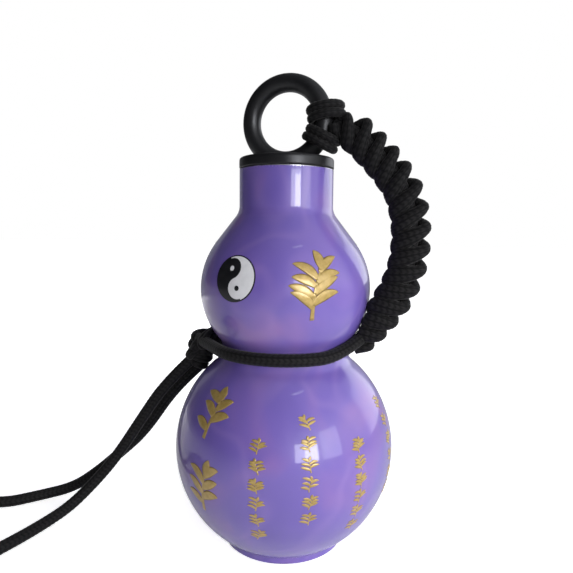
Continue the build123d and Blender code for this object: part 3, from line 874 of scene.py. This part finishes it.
def waist_path(side):
    """The strand round one side of the waist, from inside the strap's foot to the side knot."""
    right = (STRAND_END[0], side * STRAND_END[1])
    left = (-KNOT_OFFSET, side * STRAND_SPACING / 2)
    right_turn = math.atan2(right[1], right[0]) + side * math.acos(
        WAIST_CORD_RADIUS / math.hypot(*right)
    )
    left_turn = math.atan2(left[1], left[0]) - side * math.acos(
        WAIST_CORD_RADIUS / math.hypot(*left)
    )
    arc = arc_points((0, 0), WAIST_CORD_RADIUS, right_turn, left_turn, WAIST_STEPS)
    places = [(x, y, WAIST_CORD_HEIGHT) for x, y in (right, *arc, left)]
    points = []
    for place in resampled(places, CORD_STEP):
        share = max(place.x - STRAND_RISE_START, 0) / (STRAND_END[0] - STRAND_RISE_START)
        points.append(clear_of_bulb(place + Vector((0, 0, STRAND_RISE * share**2)), CORD_RADIUS))
    return points


for strand_name, strand_side in (("waist_cord_front", -1), ("waist_cord_back", 1)):
    strand = braided(strand_name + "_braid", waist_path(strand_side), round_cord(CORD_RADIUS))
    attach(strand, "harness")
    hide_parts(strand_name)


# Knotted strap: two flattened strands wound round each other like a flat helix


def smooth_line(points, count):
    """A curve through the points, as even steps."""
    curve = []
    for index in range(len(points) - 1):
        before = points[max(index - 1, 0)]
        start, end = points[index], points[index + 1]
        after = points[min(index + 2, len(points) - 1)]
        for step in range(count):
            t = step / count
            curve.append(0.5 * (
                2 * start + (end - before) * t
                + (2 * before - 5 * start + 4 * end - after) * t**2
                + (3 * start - before - 3 * end + after) * t**3
            ))
    curve.append(points[-1])
    return curve


def strap_centreline():
    """The strap's middle from the hitch to the waist, as even steps, bowed away from the neck."""
    places = [
        Vector((
            STRAP_TOP[0] + (STRAP_FOOT[0] - STRAP_TOP[0]) * along + STRAP_BOW * bow,
            0,
            STRAP_TOP[1] + (STRAP_FOOT[1] - STRAP_TOP[1]) * along,
        ))
        for along, bow in zip(STRAP_ALONG_SHARES, STRAP_BOW_SHARES)
    ]
    places[0] += (places[0] - places[1]).normalized() * STRAP_HEAD_RUN
    return resampled(smooth_line(places, STRAP_CURVE_STEPS), STRAP_LINE_STEP)


def share_at(shares, place):
    """The value between evenly spaced shares at a place from 0 to 1."""
    scaled = min(max(place, 0), 1) * (len(shares) - 1)
    index = min(int(scaled), len(shares) - 2)
    return shares[index] + (shares[index + 1] - shares[index]) * (scaled - index)


def outward_at(line, index):
    """The direction across the strap's centre line that leads away from the bottle."""
    tangent = tangent_at(line, index)
    outer = Vector((-tangent.z, 0, tangent.x))
    return outer if outer.x > 0 else -outer


def make_strap():
    """Two strands that swell to lobes on the outside and lie flat against the bulb, and a core."""
    line = strap_centreline()
    half = STRAP_BAND_THICKNESS / 2
    front = Vector((0, -1, 0))
    strands = []
    for number, start in enumerate((0.0, 0.5)):
        points = []
        for index, centre in enumerate(line):
            share = index / (len(line) - 1)
            outer = outward_at(line, index)
            width = share_at(STRAP_WIDTH_SHARES, share)
            wide = max(STRAP_HALF_WIDTH * width - half, half / 2)
            deep = max(STRAP_HALF_DEPTH * width - half, half / 2)
            angle = math.tau * (STRAP_LOBES / 2 * share + start + STRAP_TURN_START)
            reach = wide * math.cos(angle)
            if reach > 0:
                lobe = math.cos(angle) ** STRAP_LOBE_SHARPNESS
                reach = (wide + STRAP_OUTER_SWELL * width) * lobe
            place = centre + outer * reach + front * deep * math.sin(angle)
            points.append(clear_of_bulb(place, half))

        def band(share, start=start):
            full = share_at(STRAP_WIDTH_SHARES, share)
            width = STRAP_BAND_LEAST + (1 - STRAP_BAND_LEAST) * full
            angle = math.tau * (STRAP_LOBES / 2 * share + start + STRAP_TURN_START)
            along = STRAP_BAND_WIDTH - STRAP_BAND_SQUEEZE * math.cos(angle)
            return along / 2 * width, half * width

        def facing(even):
            return lambda index: tangent_at(line, int(index / len(even) * (len(line) - 1)))

        strands.append(braided(
            f"strap_strand_{number + 1}", points, band, STRAP_BAND_COLUMNS, facing, STRAP_BAND_SIDES
        ))

    def core(share):
        width = STRAP_CORE_SHARE * share_at(STRAP_WIDTH_SHARES, share)
        return STRAP_HALF_DEPTH * width, STRAP_HALF_WIDTH * width

    def core_facing(even):
        return lambda index: Vector((0, 1, 0))

    core_line = [clear_of_bulb(place, STRAP_HALF_WIDTH * STRAP_CORE_SHARE) for place in line]
    strands.append(braided("strap_core", core_line, core, facing=core_facing))
    for strand in strands:
        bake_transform(strand)
    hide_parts("knotted_strap")


make_strap()

# Hitch round the ring


def loop_round(centre, up, half_height, half_depth):
    """Points of a closed turn of cord, in the plane of the given up direction and the Y axis."""
    return [
        centre + up * half_height * math.cos(math.tau * step / LOOP_STEPS)
        + Vector((0, 1, 0)) * half_depth * math.sin(math.tau * step / LOOP_STEPS)
        for step in range(LOOP_STEPS + 1)
    ]


def make_hitch():
    """Two doubled turns round the ring's tube, thinner inside the ring, of two strands each."""
    def turn_size(share):
        inner = (1 - math.cos(math.tau * share)) / 2
        return HITCH_STRAND_HALF_WIDTH, HITCH_HALF_THICKNESS - HITCH_SQUEEZE * inner

    for index, angle in enumerate(HITCH_ANGLES):
        outward = Vector((math.cos(angle), 0, math.sin(angle)))
        along = Vector((-math.sin(angle), 0, math.cos(angle)))
        middle = Vector((0, 0, RING_HEIGHT)) + outward * (RING_RADIUS + HITCH_SHIFT)
        for side in (-1, 1):
            centre = middle + along * side * HITCH_STRAND_SPACING
            turn_piece = braided(
                f"hitch_turn_{index + 1}{'ab'[side > 0]}",
                loop_round(centre, outward, HITCH_REACH, HITCH_REACH),
                turn_size,
                facing=lambda even: lambda place: along,
            )
            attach(turn_piece, "cap")
    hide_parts("ring_hitch")


make_hitch()

# Side knot


def make_knot():
    """Wraps round the legs, under slanted turns that bind both strands of the waist cord."""
    axis = Vector((-math.sin(KNOT_TILT), 0, -math.cos(KNOT_TILT)))
    across = Vector((math.cos(KNOT_TILT), 0, -math.sin(KNOT_TILT)))
    centre = Vector((-KNOT_OFFSET, 0, KNOT_HEIGHT))
    points = []
    for step in range(KNOT_STEPS + 1):
        share = step / KNOT_STEPS
        turn = math.tau * KNOT_WRAPS * share
        reach = (KNOT_RADIUS - CORD_RADIUS) * share_at(KNOT_REACH_SHARES, share)
        points.append(
            centre + axis * (share - 0.5) * (KNOT_LENGTH - 2 * CORD_RADIUS)
            + across * reach * math.cos(turn) + Vector((0, 1, 0)) * reach * math.sin(turn)
        )
    pieces = [braided("side_knot_wraps", points, round_cord(CORD_RADIUS))]
    for number, (place, height, slant, half_height, half_depth) in enumerate(BINDING_TURNS):
        up = Vector((math.sin(math.radians(slant)), 0, math.cos(math.radians(slant))))
        turn = loop_round(Vector((place, 0, height)), up, half_height, half_depth)
        pieces.append(braided(f"side_knot_turn_{number + 1}", turn, round_cord(BINDING_RADIUS)))
    for piece in pieces:
        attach(piece, "harness")
    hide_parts("side_knot")


make_knot()

# Gold ornament: sprigs of pointed leaves, printed on both bulbs

PRINT_LIFT = 0.00015
PRINT_DEPTH = 0.0001
# Section of a stroke: place across in half widths, lift, and share of the edge's darker colour
STROKE_SECTION = (
    (-1.0, -PRINT_DEPTH, 1.0),
    (-1.0, PRINT_LIFT * 0.35, 1.0),
    (-0.6, PRINT_LIFT * 0.9, 0.0),
    (0.0, PRINT_LIFT, 0.0),
    (0.6, PRINT_LIFT * 0.9, 0.0),
    (1.0, PRINT_LIFT * 0.35, 1.0),
    (1.0, -PRINT_DEPTH, 1.0),
)
STROKE_STEPS = 14
LOWER_BULB = (0.0, LOWER_HEIGHT, LOWER_RADIUS)
UPPER_BULB = (UPPER_OFFSET, UPPER_HEIGHT, UPPER_RADIUS)
SMALL_WIDTH = 0.0084
SMALL_HEIGHT = 0.0068
SMALL_LEAF_WIDTH = 0.0013
SMALL_LEAVES = (5, 7)
SMALL_LEAN = 0.12
SPRIGS_PER_COLUMN = 6
# Columns of small sprigs: degrees from the camera's right, lowest and highest place
SMALL_COLUMNS = (
    (-102, 0.022, 0.07),
    (-78, 0.031, 0.079),
    (-51.5, 0.022, 0.067),
    (-22, 0.03, 0.079),
)
LARGE_LEAF_WIDTH = 0.0043
LARGE_LEAN = 0.08
# Large sprigs: bulb, degrees from the camera's right, height of the middle, width, height, leaves
LARGE_SPRIGS = (
    (UPPER_BULB, -70.5, 0.1325, 0.0260, 0.0310, 8),
    (LOWER_BULB, -131, 0.0755, 0.0210, 0.0245, 5),
    (LOWER_BULB, -131, 0.0435, 0.0220, 0.0255, 6),
)

# Shape of every sprig, as shares of its width, of its height or of a leaf's length
SPINE_TOP = 0.22
SPINE_BEND = 0.16
STEM_WIDTH = 0.45
STEM_START = 1.1
STEM_TAPER = 0.6
FIRST_LEAF = 0.22
LEAF_SPAN = 0.7
LEAF_REACH = (0.85, 1.0)
LEAF_SHORTENING = 0.18
LEAF_RISE = (0.12, 0.24)
LEAF_BEND = (0.12, 0.3)
LEAF_BLUNTNESS = 0.08
LEAF_FULLNESS = 0.75
LEAF_LEAST_WIDTH = 0.05
TIP_FOLLOWS_SPINE = 0.3
TOP_SWAY = 0.1
TOP_BEND = 0.2
TOP_WIDTH = 1.05
ORNAMENT_SEED = 7


def on_bulb(bulb, azimuth, height, across, up, lift):
    """A flat ornament's point laid on a bulb, round a middle at an azimuth and a height."""
    offset, centre_height, radius = bulb
    angle = math.asin((height - centre_height) / radius) + up / radius
    reach = offset + (radius + lift) * math.cos(angle)
    turn = azimuth + across / reach
    z = centre_height + (radius + lift) * math.sin(angle)
    return Vector((reach * math.cos(turn), reach * math.sin(turn), z))


def bent_line(start, end, bend):
    """Points of a curve from start to end that bows sideways by a share of its length."""
    start, end = Vector(start), Vector(end)
    side = Vector((start.y - end.y, end.x - start.x))
    middle = (start + end) / 2 + side * bend
    return [
        start * (1 - t) ** 2 + middle * 2 * t * (1 - t) + end * t**2
        for t in (step / STROKE_STEPS for step in range(STROKE_STEPS + 1))
    ]


def leaf(start, end, bend, width):
    """A stroke that swells and comes to a point, as (points, half widths)."""
    widths = []
    for step in range(STROKE_STEPS + 1):
        share = min(step / STROKE_STEPS * (1 - LEAF_BLUNTNESS) + LEAF_BLUNTNESS, 1)
        swell = math.sin(math.pi * share) ** LEAF_FULLNESS
        widths.append(width / 2 * (swell + LEAF_LEAST_WIDTH))
    return bent_line(start, end, bend), widths


def stem(points, width):
    """A stroke that tapers evenly, as (points, half widths)."""
    last = len(points) - 1
    return points, [
        width / 2 * (STEM_START - STEM_TAPER * index / last) for index in range(last + 1)
    ]


def sprig(width, height, leaves, leaf_width, rng, lean):
    """A sprig as a list of strokes in its own flat frame, centred on its middle."""
    low = Vector((-lean * width, -height / 2))
    high = Vector((lean * width, height * SPINE_TOP))
    spine = bent_line(low, high, rng.uniform(-SPINE_BEND, SPINE_BEND))
    strokes = [stem(spine, leaf_width * STEM_WIDTH)]
    for index in range(leaves):
        share = FIRST_LEAF + LEAF_SPAN * index / (leaves - 1)
        place = spine[round(share * (len(spine) - 1))]
        side = 1 if index % 2 else -1
        reach = width / 2 * rng.uniform(*LEAF_REACH) * (1 - LEAF_SHORTENING * index / leaves)
        rise = height * rng.uniform(*LEAF_RISE)
        tip = Vector((place.x * TIP_FOLLOWS_SPINE + side * reach, place.y + rise))
        strokes.append(leaf(place, tip, side * rng.uniform(*LEAF_BEND), leaf_width))
    top = Vector((high.x + width * rng.uniform(-TOP_SWAY, TOP_SWAY), height / 2))
    strokes.append(leaf(spine[-1], top, rng.uniform(-TOP_BEND, TOP_BEND), leaf_width * TOP_WIDTH))
    return strokes


def print_strokes(name, placed):
    """One mesh of all strokes; each is a low, domed ribbon that lies on its bulb."""
    builder = bmesh.new()
    edge_layer = builder.verts.layers.float.new("stroke_edge")
    for bulb, azimuth, height, (points, widths) in placed:
        rings = []
        for index, point in enumerate(points):
            tangent = tangent_at(points, index)
            side = Vector((tangent.y, -tangent.x))
            ring = []
            for share, lift, edge in STROKE_SECTION:
                place = point + side * share * widths[index]
                vertex = builder.verts.new(
                    on_bulb(bulb, azimuth, height, place.x, place.y, lift)
                )
                vertex[edge_layer] = edge
                ring.append(vertex)
            rings.append(ring)
        for low, high in zip(rings, rings[1:]):
            join_rings(builder, high, low)
        builder.faces.new(rings[0])
        builder.faces.new(rings[-1][::-1])
    bmesh.ops.recalc_face_normals(builder, faces=builder.faces)
    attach(new_object(name, built_mesh(name, builder), gold), "flask")


def make_ornaments():
    """Columns of small sprigs on the lower bulb, and a few large ones on both bulbs."""
    rng = random.Random(ORNAMENT_SEED)
    placed = []
    for azimuth, low, high in SMALL_COLUMNS:
        for index in range(SPRIGS_PER_COLUMN):
            height = low + (high - low) * (index + 0.5) / SPRIGS_PER_COLUMN
            leaves = rng.randint(*SMALL_LEAVES)
            lean = rng.uniform(-SMALL_LEAN, SMALL_LEAN)
            for stroke in sprig(SMALL_WIDTH, SMALL_HEIGHT, leaves, SMALL_LEAF_WIDTH, rng, lean):
                placed.append((LOWER_BULB, math.radians(azimuth) + CAMERA_TURN, height, stroke))
    for bulb, azimuth, height, width, tall, leaves in LARGE_SPRIGS:
        for stroke in sprig(width, tall, leaves, LARGE_LEAF_WIDTH, rng, LARGE_LEAN):
            placed.append((bulb, math.radians(azimuth) + CAMERA_TURN, height, stroke))
    print_strokes("gold_sprigs", placed)


make_ornaments()

# Studio

# The floor's glow: as a light, in mirrored views, and as the camera sees it, near the bottle and far
FLOOR_HALF_SIZE = 6.0
FLOOR_COLOUR = (0.85, 0.85, 0.87)
FLOOR_GLOW = 0.05
FLOOR_MIRRORED = 0.08
FLOOR_SEEN_NEAR = 0.76
FLOOR_SEEN_FAR = 1.0
FLOOR_NEAR = 0.1
FLOOR_FAR = 0.4


def make_floor():
    """A white floor that keeps a faint shadow of the bottle."""
    corners = [
        (x * FLOOR_HALF_SIZE, y * FLOOR_HALF_SIZE, 0) for x, y in ((-1, -1), (1, -1), (1, 1), (-1, 1))
    ]
    mesh = bpy.data.meshes.new("floor")
    mesh.from_pydata(corners, [], [(0, 1, 2, 3)])
    material, tree, shader = new_material("white_floor")
    set_values(shader, {
        "Base Color": (*FLOOR_COLOUR, 1), "Roughness": 0.9, "Specular IOR Level": 0.0,
    })
    ray = tree.nodes.new("ShaderNodeLightPath").outputs
    distance = vector_math(tree, "LENGTH", object_coordinates(tree)).outputs["Value"]
    seen = smooth_step(tree, distance, FLOOR_NEAR, FLOOR_FAR, FLOOR_SEEN_NEAR, FLOOR_SEEN_FAR)
    seen = compute(tree, "MULTIPLY", ray["Is Camera Ray"], seen)
    glow = compute(tree, "MAXIMUM", seen, FLOOR_GLOW)
    mirrored = compute(tree, "MULTIPLY", ray["Is Glossy Ray"], FLOOR_MIRRORED)
    glowing = tree.nodes.new("ShaderNodeEmission")
    tree.links.new(compute(tree, "MAXIMUM", glow, mirrored), glowing.inputs["Strength"])
    added = tree.nodes.new("ShaderNodeAddShader")
    output = [node for node in tree.nodes if node.type == "OUTPUT_MATERIAL"][0]
    tree.links.new(shader.outputs["BSDF"], added.inputs[0])
    tree.links.new(glowing.outputs["Emission"], added.inputs[1])
    tree.links.new(added.outputs["Shader"], output.inputs["Surface"])
    new_object("floor", mesh, material)


# Room round the bottle. Each light patch: left and right as degrees from the camera's side, low
# and high as degrees above the horizon, strength, and the softness of its edge in degrees
ROOM_COLOUR = (0.92, 0.94, 1.0)
WALL_DARK = 0.015
WALL_LIGHT = 0.3
WALL_CHANGE = (-0.75, 0.95)
WALL_MIRRORED = 0.8
PATCH_LIGHT_SHARE = 0.4
ROOM_PATCHES = (
    (11, 35, -6, 17, 6.0, 1.5),
    (21, 34, -7, 15, 8.0, 1.5),
    (39, 60, -10, 25, 2.2, 1.2),
    (102, 146, -12, 30, 1.3, 7),
    (-178, -135, -25, 20, 0.2, 8),
    (18, 48, 65, 67, 3.0, 1),
    (40, 170, -89, -25, 0.25, 20),
)


def make_world():
    """A room that is dark on the left and light on the right, with a window on the right."""
    world = bpy.data.worlds.new("studio")
    world.use_nodes = True
    tree = world.node_tree
    tree.nodes.clear()
    direction = tree.nodes.new("ShaderNodeTexCoord").outputs["Generated"]

    def along(axis):
        node = vector_math(tree, "DOT_PRODUCT", direction)
        node.inputs[1].default_value = axis
        return node.outputs["Value"]

    ray = tree.nodes.new("ShaderNodeLightPath").outputs
    glossy = ray["Is Glossy Ray"]
    right = along(turned((1, 0, 0)))
    towards_camera = along(turned((0, -1, 0)))
    turn = compute(tree, "ARCTAN2", right, towards_camera)
    azimuth = compute(tree, "MULTIPLY", turn, math.degrees(1))
    rise = compute(tree, "ARCSINE", along((0, 0, 1)))
    elevation = compute(tree, "MULTIPLY", rise, math.degrees(1))
    strength = smooth_step(tree, right, *WALL_CHANGE, WALL_DARK, WALL_LIGHT)
    mirrored = compute(tree, "MULTIPLY", strength, WALL_MIRRORED)
    strength = compute(tree, "ADD", strength, compute(tree, "MULTIPLY", glossy, mirrored))
    share = compute(tree, "MAXIMUM", glossy, PATCH_LIGHT_SHARE)
    for left, end, low, high, gain, soft in ROOM_PATCHES:
        patch = compute(tree, "MULTIPLY", share, gain)
        for value, outer, inner in (
            (azimuth, left - soft / 2, left + soft / 2),
            (azimuth, end + soft / 2, end - soft / 2),
            (elevation, low - soft / 2, low + soft / 2),
            (elevation, high + soft / 2, high - soft / 2),
        ):
            patch = compute(tree, "MULTIPLY", patch, smooth_step(tree, value, outer, inner))
        strength = compute(tree, "ADD", strength, patch)
    room = tree.nodes.new("ShaderNodeBackground")
    room.inputs["Color"].default_value = (*ROOM_COLOUR, 1)
    tree.links.new(strength, room.inputs["Strength"])
    seen = tree.nodes.new("ShaderNodeBackground")
    seen.inputs["Color"].default_value = (1, 1, 1, 1)
    mixed = tree.nodes.new("ShaderNodeMixShader")
    output = tree.nodes.new("ShaderNodeOutputWorld")
    tree.links.new(ray["Is Camera Ray"], mixed.inputs["Fac"])
    tree.links.new(room.outputs["Background"], mixed.inputs[1])
    tree.links.new(seen.outputs["Background"], mixed.inputs[2])
    tree.links.new(mixed.outputs["Shader"], output.inputs["Surface"])
    bpy.context.scene.world = world


# Lights in the camera's upright frame: name, place, target, size, power and spread in degrees
LIGHTS = (
    ("low_key", (0.3, -0.5, 0.2), (0, 0, 0.045), (0.5, 0.2), 0.42, 60),
    ("side", (0.65, -0.12, 0.3), (0, 0, 0.14), (0.3, 0.3), 0.38, 80),
    ("overhead", (0.2, -0.35, 0.9), (0, 0, 0.08), (0.8, 0.8), 1.1, 180),
    ("back_fill", (-0.5, 0.6, 0.3), (0, 0, 0.09), (0.6, 0.4), 2.2, 180),
)


def area_light(name, place, target, size, power, spread):
    """A rectangular light, placed and aimed in the camera's upright frame, left out of mirrors."""
    data = bpy.data.lights.new(name, "AREA")
    data.shape = "RECTANGLE"
    data.size, data.size_y = size
    data.energy = power
    data.spread = math.radians(spread)
    light = new_object(name, data)
    light.location = turned(place)
    aim = turned(target) - light.location
    light.rotation_mode = "QUATERNION"
    light.rotation_quaternion = aim.to_track_quat("-Z", "Y")
    light.visible_glossy = False


make_floor()
make_world()
for light_values in LIGHTS:
    area_light(*light_values)
